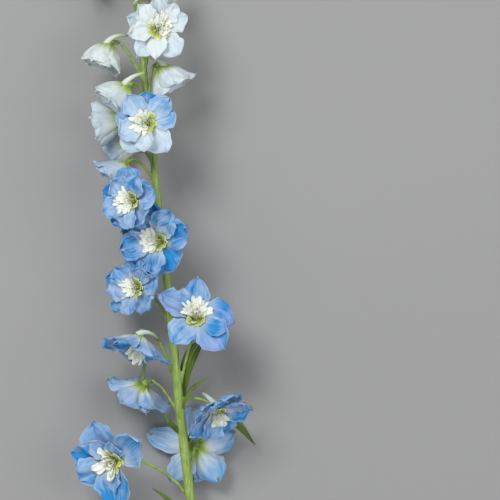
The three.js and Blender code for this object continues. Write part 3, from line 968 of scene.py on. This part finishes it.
def make_stalk(flowers, material):
    """The CAD stalk with a green receptacle behind each flower, melted into one round skin."""
    piece = Piece()
    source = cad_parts["stalk"].data
    points = np.array([v.co for v in source.vertices])
    piece.add(points, [tuple(face.vertices) for face in source.polygons], np.zeros((len(points), 3)))
    behind, radii = np.array(RECEPTACLE).T * MM
    for flower in flowers:
        cone, faces, place = tube(np.outer(-behind, [0, 0, 1]), radii, 14)
        piece.add(flower.world(cone), faces, place)
    skin = melted(np.concatenate([part[0] for part in piece.parts]).tolist(), piece.faces)
    places, normals = np.empty((2, len(skin.vertices), 3))
    skin.vertices.foreach_get("co", places.reshape(-1))
    skin.vertices.foreach_get("normal", normals.reshape(-1))
    places += STALK_SWELL * normals
    places[:, 2] = np.maximum(places[:, 2], 0.0)
    skin.vertices.foreach_set("co", places.ravel())
    beside = beside_stalk(places)
    give_values(skin, "tone", np.stack([beside, 0 * beside, 0 * beside], axis=1))
    skin.polygons.foreach_set("use_smooth", [True] * len(skin.polygons))
    skin.materials.clear()
    skin.materials.append(material)
    skin.update()
    placed("stalk_skin", skin, "stalk", "stalk")


# ---- Materials ----


def srgb(red, green, blue):
    """A colour given as 0 to 255 in sRGB, as Blender's linear one."""
    share = np.array([red, green, blue]) / 255
    linear = np.where(share <= 0.04045, share / 12.92, ((share + 0.055) / 1.055) ** 2.4)
    return (*linear.tolist(), 1.0)


class Value:
    """What comes out of a node. It can be added, subtracted and multiplied like a number."""

    def __init__(self, graph, socket):
        self.graph = graph
        self.socket = socket

    def __add__(self, other):
        return self.graph.maths("ADD", self, other)

    def __sub__(self, other):
        return self.graph.maths("SUBTRACT", self, other)

    def __rsub__(self, other):
        return self.graph.maths("SUBTRACT", other, self)

    def __mul__(self, other):
        return self.graph.maths("MULTIPLY", self, other)

    def __abs__(self):
        return self.graph.maths("ABSOLUTE", self)

    __radd__ = __add__
    __rmul__ = __mul__


class Graph:
    """Makes a material's nodes and links them as it goes. They are fed numbers, colours or Values."""

    def __init__(self, name):
        self.material = bpy.data.materials.new(name)
        self.material.use_nodes = True
        self.tree = self.material.node_tree
        self.tree.nodes.clear()

    def node(self, kind, entries, **settings):
        """Adds a node with its settings, and feeds its inputs in their order or by their names."""
        node = self.tree.nodes.new("ShaderNode" + kind)
        for name, setting in settings.items():
            setattr(node, name, setting)
        keyed = entries.items() if isinstance(entries, dict) else enumerate(entries)
        for key, entry in keyed:
            if isinstance(entry, Value):
                self.tree.links.new(entry.socket, node.inputs[key])
            else:
                node.inputs[key].default_value = entry
        return node

    def result(self, kind, entries=(), output=0, **settings):
        """What comes out of a new node."""
        return Value(self, self.node(kind, entries, **settings).outputs[output])

    def parts(self, vector):
        """The three numbers of a vector."""
        return [Value(self, part) for part in self.node("SeparateXYZ", [vector]).outputs]

    def values(self, name):
        """The three numbers that the mesh holds under a name."""
        return self.parts(self.result("Attribute", output="Vector", attribute_name=name))

    def point(self):
        """The place in the object, in metres."""
        return self.parts(self.result("TexCoord", output="Object"))

    def maths(self, operation, *numbers):
        return self.result("Math", numbers, operation=operation)

    def rise(self, value, low, high, start=0.0, end=1.0):
        """A smooth step from start, where the value is low, to end, where it is high."""
        return self.result("MapRange", [value, low, high, start, end], interpolation_type="SMOOTHSTEP")

    def mix(self, share, first, second):
        """The first colour, with a share of the second one."""
        colours = {"Factor": share, 6: first, 7: second}
        return self.result("Mix", colours, output=2, data_type="RGBA", clamp_factor=True)

    def noise(self, x, y, z, detail=3.0, rough=0.5):
        """A number between 0 and 1 that varies smoothly with x, y and z."""
        place = self.result("CombineXYZ", [x, y, z])
        return self.result("TexNoise", {"Vector": place, "Scale": 1.0, "Detail": detail, "Roughness": rough})

    def bump(self, height, strength, distance):
        return self.result("Bump", {"Height": height, "Strength": strength, "Distance": distance})

    def finish(self, colour, roughness, normal, glow=0.0, **levels):
        """The shader, with a share of light let through (glow), and levels for inputs of its own."""
        entries = {"Base Color": colour, "Roughness": roughness, "Normal": normal}
        for name, level in levels.items():
            entries[name.replace("_", " ")] = level
        surface = self.result("BsdfPrincipled", entries)
        if glow:
            through = self.result("BsdfTranslucent", {"Color": colour, "Normal": normal})
            surface = self.result("MixShader", [glow, surface, through])
        self.node("OutputMaterial", [surface])
        return self.material


NOISE_APART = 40.0  # how far apart in the noise the petals are
SEPAL_WHITE = srgb(242, 247, 243)
SEPAL_BLUE = srgb(46, 156, 222)
SEPAL_DEEP = srgb(30, 110, 186)
SEPAL_LAVENDER = srgb(152, 164, 226)
SEPAL_BACK = srgb(232, 240, 242)
FOOT_GREEN = srgb(178, 204, 72)
BASE_GREEN = srgb(136, 170, 56)
SPOT_GREEN = srgb(124, 158, 84)
PETAL_CREAM = srgb(252, 254, 246)
PETAL_YELLOW = srgb(206, 218, 92)
PETAL_OLIVE = srgb(142, 162, 44)
# Partly the nectary's own green, partly painted shade in the throat.
THROAT_GREEN_AND_SHADE = srgb(104, 120, 42)
FILAMENT = srgb(226, 232, 176)
ANTHER = srgb(150, 150, 74)
SPUR_OLIVE = srgb(92, 116, 34)
STALK_LIGHT = srgb(158, 180, 98)
STALK_GREEN = srgb(104, 132, 54)
STALK_DARK = srgb(62, 84, 32)
LEAF_LIGHT = srgb(146, 168, 82)
LEAF_GREEN = srgb(98, 126, 48)
LEAF_DARK = srgb(60, 80, 32)
BUD_CREAM = srgb(238, 242, 220)
BUD_GREEN = srgb(166, 196, 110)
FLOOR_GREY = srgb(146, 146, 146)
FLOOR_DARK = srgb(139, 139, 139)
SKY = srgb(240, 241, 243)


def sepal_material():
    """Blue (tone x) away from a white foot, with margins paled as a painted highlight, fine veins and a
    lavender flush (tone y).

    The back is paler and has green streaks from its foot and a green spot under its tip.
    """
    g = Graph("sepal")
    along, across, front = g.values("place")
    blue, lavender, seed = g.values("tone")
    own = seed * NOISE_APART
    veins = g.noise(across * 9.0, along * 1.1, own)
    cloud = g.noise(along * 2.2, across * 1.1, own + 9.0, detail=2.0)
    gather = g.rise(along, 0.02, 0.88 - blue * 0.36, 0.16, 1.0)
    strength = blue * gather * g.rise(cloud, 0.3, 0.7, 0.72, 1.2)
    # Painted highlight: the blue fades at the margins, as if light caught the sepals' edges.
    strength = strength * g.rise(abs(across), 0.8, 1.0, 1.0, 0.78)
    strength = strength * g.rise(veins, 0.35, 0.68, 0.86, 1.12)
    tint = g.mix(strength, SEPAL_WHITE, SEPAL_BLUE)
    deep = g.rise(cloud, 0.4, 0.7) * g.rise(strength, 0.55, 1.0) * g.rise(veins, 0.5, 0.75)
    tint = g.mix(deep * 0.45, tint, SEPAL_DEEP)
    flush = lavender * g.rise(cloud, 0.62, 0.38)
    tint = g.mix(flush * 0.6, tint, SEPAL_LAVENDER)
    face = g.mix(g.rise(along, 0.26, 0.04) * 0.6, tint, FOOT_GREEN)
    rays = g.noise(across * 5.0, along * 0.5, own + 3.0, detail=2.0)
    pale = g.rise(along, 0.85, 0.1) * g.rise(rays, 0.42, 0.62, 0.25, 0.95)
    back = g.mix(pale * 0.7 + 0.08, tint, SEPAL_BACK)
    reach = 0.55 - blue * 0.25  # of the green that runs up from the foot
    streaks = g.rise(along, reach, 0.0) * g.rise(veins, 0.3, 0.6, 0.5, 1.0)
    back = g.mix(streaks * 1.5, back, FOOT_GREEN)
    back = g.mix(g.rise(along, 0.22, 0.04, 0.0, 0.75), back, BASE_GREEN)
    near_tip = (along - 0.92) * 18.0
    aside = across * 3.6
    distance = near_tip * near_tip + aside * aside
    spot = g.rise(distance, 1.1, 0.0) * g.rise(blue, 0.0, 0.6, 0.12, 0.8)
    back = g.mix(spot, back, SPOT_GREEN)
    grain = g.noise(across * 34.0, along * 14.0, own, rough=0.6)
    normal = g.bump(veins * 0.8 + grain * 0.35, 0.5, 0.35 * MM)
    shine = g.rise(grain, 0.2, 0.8, 0.46, 0.66)
    colour = g.mix(front, back, face)
    return g.finish(colour, shine, normal, glow=0.34, Sheen_Weight=0.12, Specular_IOR_Level=0.3)


def spur_material():
    """Pale blue (tone x) and green-white, greener towards the spur's tip, and olive where tone y is high."""
    g = Graph("spur")
    along, across, _ = g.values("place")
    blue, green, seed = g.values("tone")
    streaks = g.noise(across * 4.0, along * 2.0, seed * NOISE_APART)
    body = g.mix(blue * 0.45, SEPAL_WHITE, SEPAL_BLUE)
    body = g.mix(g.rise(streaks, 0.3, 0.7, 0.25, 0.75), body, BUD_CREAM)
    colour = g.mix(g.rise(along, 0.45, 1.0, 0.05, 0.9), body, BUD_GREEN)
    colour = g.mix(g.rise(along, 0.93, 1.0, 0.0, 0.6), colour, STALK_GREEN)
    colour = g.mix(green * g.rise(streaks, 0.25, 0.6, 0.6, 1.0), colour, SPUR_OLIVE)
    normal = g.bump(streaks, 0.4, 0.3 * MM)
    return g.finish(colour, g.rise(streaks, 0.2, 0.8, 0.45, 0.6), normal, glow=0.2, Sheen_Weight=0.2)


def petal_material():
    """Cream blades on yellow-green feet. The claws (tone x) are green nearly to their tips."""
    g = Graph("petal")
    along, across, _ = g.values("place")
    claw, _, seed = g.values("tone")
    veins = g.noise(across * 5.0, along * 1.6, seed * NOISE_APART)
    tint = g.mix(g.rise(veins, 0.45, 0.75, 0.0, 0.3), PETAL_CREAM, FILAMENT)
    colour = g.mix(g.rise(along + veins * 0.2, 0.4, 0.12, 0.0, 0.8), tint, PETAL_YELLOW)
    wandering = along + veins * 0.3
    colour = g.mix(claw * g.rise(wandering, 1.15, 0.75), colour, PETAL_YELLOW)
    colour = g.mix(claw * g.rise(wandering, 0.5, 0.2), colour, PETAL_OLIVE)
    normal = g.bump(veins, 0.6, 0.4 * MM)
    return g.finish(colour, g.rise(veins, 0.2, 0.8, 0.5, 0.68), normal, glow=0.3, Sheen_Weight=0.2)


def stamen_material():
    """Pale filaments, olive anthers (tone y) and the dark green floor of the throat (tone x), partly its own
    colour and partly painted shade.
    """
    g = Graph("stamen")
    along, across, _ = g.values("place")
    dark, anther, seed = g.values("tone")
    speck = g.noise(across * 6.0, along * 6.0, seed * NOISE_APART)
    # The throat's floor (tone x) is dark green, partly its own colour and partly painted shade.
    colour = g.mix(dark * g.rise(speck, 0.25, 0.6, 0.75, 1.0), FILAMENT, THROAT_GREEN_AND_SHADE)
    colour = g.mix(anther * g.rise(speck, 0.3, 0.7, 0.6, 1.0), colour, ANTHER)
    normal = g.bump(speck, 0.5, 0.2 * MM)
    return g.finish(colour, g.rise(speck, 0.2, 0.8, 0.5, 0.7), normal)


def bud_material():
    """Cream with a green foot, green seams and a green point."""
    g = Graph("bud")
    along, across, _ = g.values("place")
    _, _, seed = g.values("tone")
    veins = g.noise(across * 5.0, along * 1.5, seed * NOISE_APART)
    ends = g.rise(along, 0.42, 0.02) + g.rise(along, 0.8, 1.0)
    seams = g.rise(abs(across), 0.7, 1.0) * 0.35
    keel = g.rise(abs(across), 0.3, 0.0) * 0.35
    green = (ends + seams + keel) * g.rise(veins, 0.25, 0.7, 0.6, 1.1)
    colour = g.mix(green, BUD_CREAM, BUD_GREEN)
    normal = g.bump(veins, 0.5, 0.3 * MM)
    return g.finish(colour, g.rise(veins, 0.2, 0.8, 0.45, 0.62), normal, glow=0.2, Sheen_Weight=0.25)


def leaf_material():
    """Dark green with a paler midrib and veins that run along the leaf, and a paler back."""
    g = Graph("leaf")
    along, across, front = g.values("place")
    _, _, seed = g.values("tone")
    own = seed * NOISE_APART
    veins = g.noise(across * 6.0, along * 1.4, own, detail=4.0)
    cloud = g.noise(along * 3.0, across, own + 5.0, detail=2.0)
    colour = g.mix(g.rise(cloud, 0.3, 0.7), LEAF_DARK, LEAF_GREEN)
    colour = g.mix(g.rise(veins, 0.5, 0.75, 0.0, 0.55), colour, LEAF_LIGHT)
    colour = g.mix(g.rise(abs(across), 0.12, 0.02, 0.0, 0.6), colour, LEAF_LIGHT)
    colour = g.mix((1.0 - front) * 0.35, colour, LEAF_LIGHT)
    normal = g.bump(veins, 0.6, 0.4 * MM)
    return g.finish(colour, g.rise(cloud, 0.2, 0.8, 0.42, 0.6), normal, glow=0.12, Specular_IOR_Level=0.4)


def stalk_material():
    """Green with long pale and dark streaks and ribs, and a mottle on the flowers' own stalks (tone x)."""
    g = Graph("stalk")
    x, y, z = g.point()
    beside, _, _ = g.values("tone")
    main = 1.0 - beside
    mottle = beside * (g.noise(x * 200, y * 200, z * 200) * 0.8 + 0.1)
    streaks = main * g.noise(x * 900, y * 22, z * 900) + mottle
    ribs = main * g.noise(x * 1500, y * 14, z * 1500, detail=2.0) + mottle
    patches = g.noise(x * 60, y * 25, z * 60)
    colour = g.mix(g.rise(streaks, 0.25, 0.75), STALK_GREEN, STALK_LIGHT)
    colour = g.mix(g.rise(ribs, 0.52, 0.75, 0.0, 0.32), colour, STALK_DARK)
    colour = g.mix(g.rise(patches, 0.5, 0.75, 0.0, 0.35), colour, STALK_DARK)
    normal = g.bump(ribs * 0.7 + streaks * 0.5, 0.55, 0.5 * MM)
    return g.finish(colour, g.rise(streaks, 0.2, 0.8, 0.36, 0.52), normal, Specular_IOR_Level=0.45)


def floor_material():
    """A matt pale grey studio floor, with the faintest unevenness."""
    g = Graph("floor")
    x, y, z = g.point()
    soft = g.noise(x * 2, y * 2, z * 2, detail=2.0)
    grain = g.noise(x * 900, y * 900, z * 900, detail=2.0)
    colour = g.mix(g.rise(soft, 0.3, 0.7, 0.0, 0.25), FLOOR_GREY, FLOOR_DARK)
    return g.finish(colour, 0.85, g.bump(grain, 0.08, 0.1 * MM), Specular_IOR_Level=0.2)


# ---- The studio ----


def make_floor():
    corners = [(x * FLOOR_REACH, y * FLOOR_REACH, 0) for x, y in ((-1, -1), (1, -1), (1, 1), (-1, 1))]
    floor = added("floor", new_mesh("floor", corners, [(0, 1, 2, 3)], floor_material()))


def make_light(name, place, size, power):
    """A square soft light that looks at LIGHT_TARGET."""
    data = bpy.data.lights.new(name, "AREA")
    data.size = size
    data.energy = power
    lamp = added(name, data)
    lamp.location = place
    way = Vector(LIGHT_TARGET) - Vector(place)
    lamp.rotation_mode = "QUATERNION"
    lamp.rotation_quaternion = way.to_track_quat("-Z", "Y")
    lamp.visible_camera = False


def make_sky():
    world = bpy.data.worlds.new("studio")
    world.use_nodes = True
    background = world.node_tree.nodes["Background"]
    background.inputs["Color"].default_value = SKY
    background.inputs["Strength"].default_value = SKY_STRENGTH
    bpy.context.scene.world = world


def make_camera():
    """Looks straight down, with the photograph's upward direction along +Y."""
    data = bpy.data.cameras.new("camera")
    data.sensor_width = SENSOR
    data.lens = SENSOR * CAMERA_DISTANCE / (PICTURE * MM_PER_PIXEL * MM)
    camera = added("camera", data)
    camera.location = (*VIEW_CENTRE, VIEW_HEIGHT + CAMERA_DISTANCE)
    bpy.context.scene.camera = camera


# ---- The scene ----

materials = {
    "sepal": sepal_material(),
    "spur": spur_material(),
    "petal": petal_material(),
    "stamen": stamen_material(),
    "bud": bud_material(),
    "leaf": leaf_material(),
}
make_floor()
for name, (place, size, power) in LIGHTS.items():
    make_light(name, place, size, power)
make_sky()
make_camera()
flowers = [make_flower(number, materials) for number in range(1, FLOWERS + 1)]
for number in range(1, BUDS + 1):
    make_bud(number, materials)
make_tip_cluster(materials)
for number, (name, broadest) in enumerate(LEAVES.items()):
    make_leaf(name, number, broadest, materials)
make_bracts(flowers, materials)
make_stalk(flowers, stalk_material())
bpy.context.scene.view_settings.view_transform = "Standard"
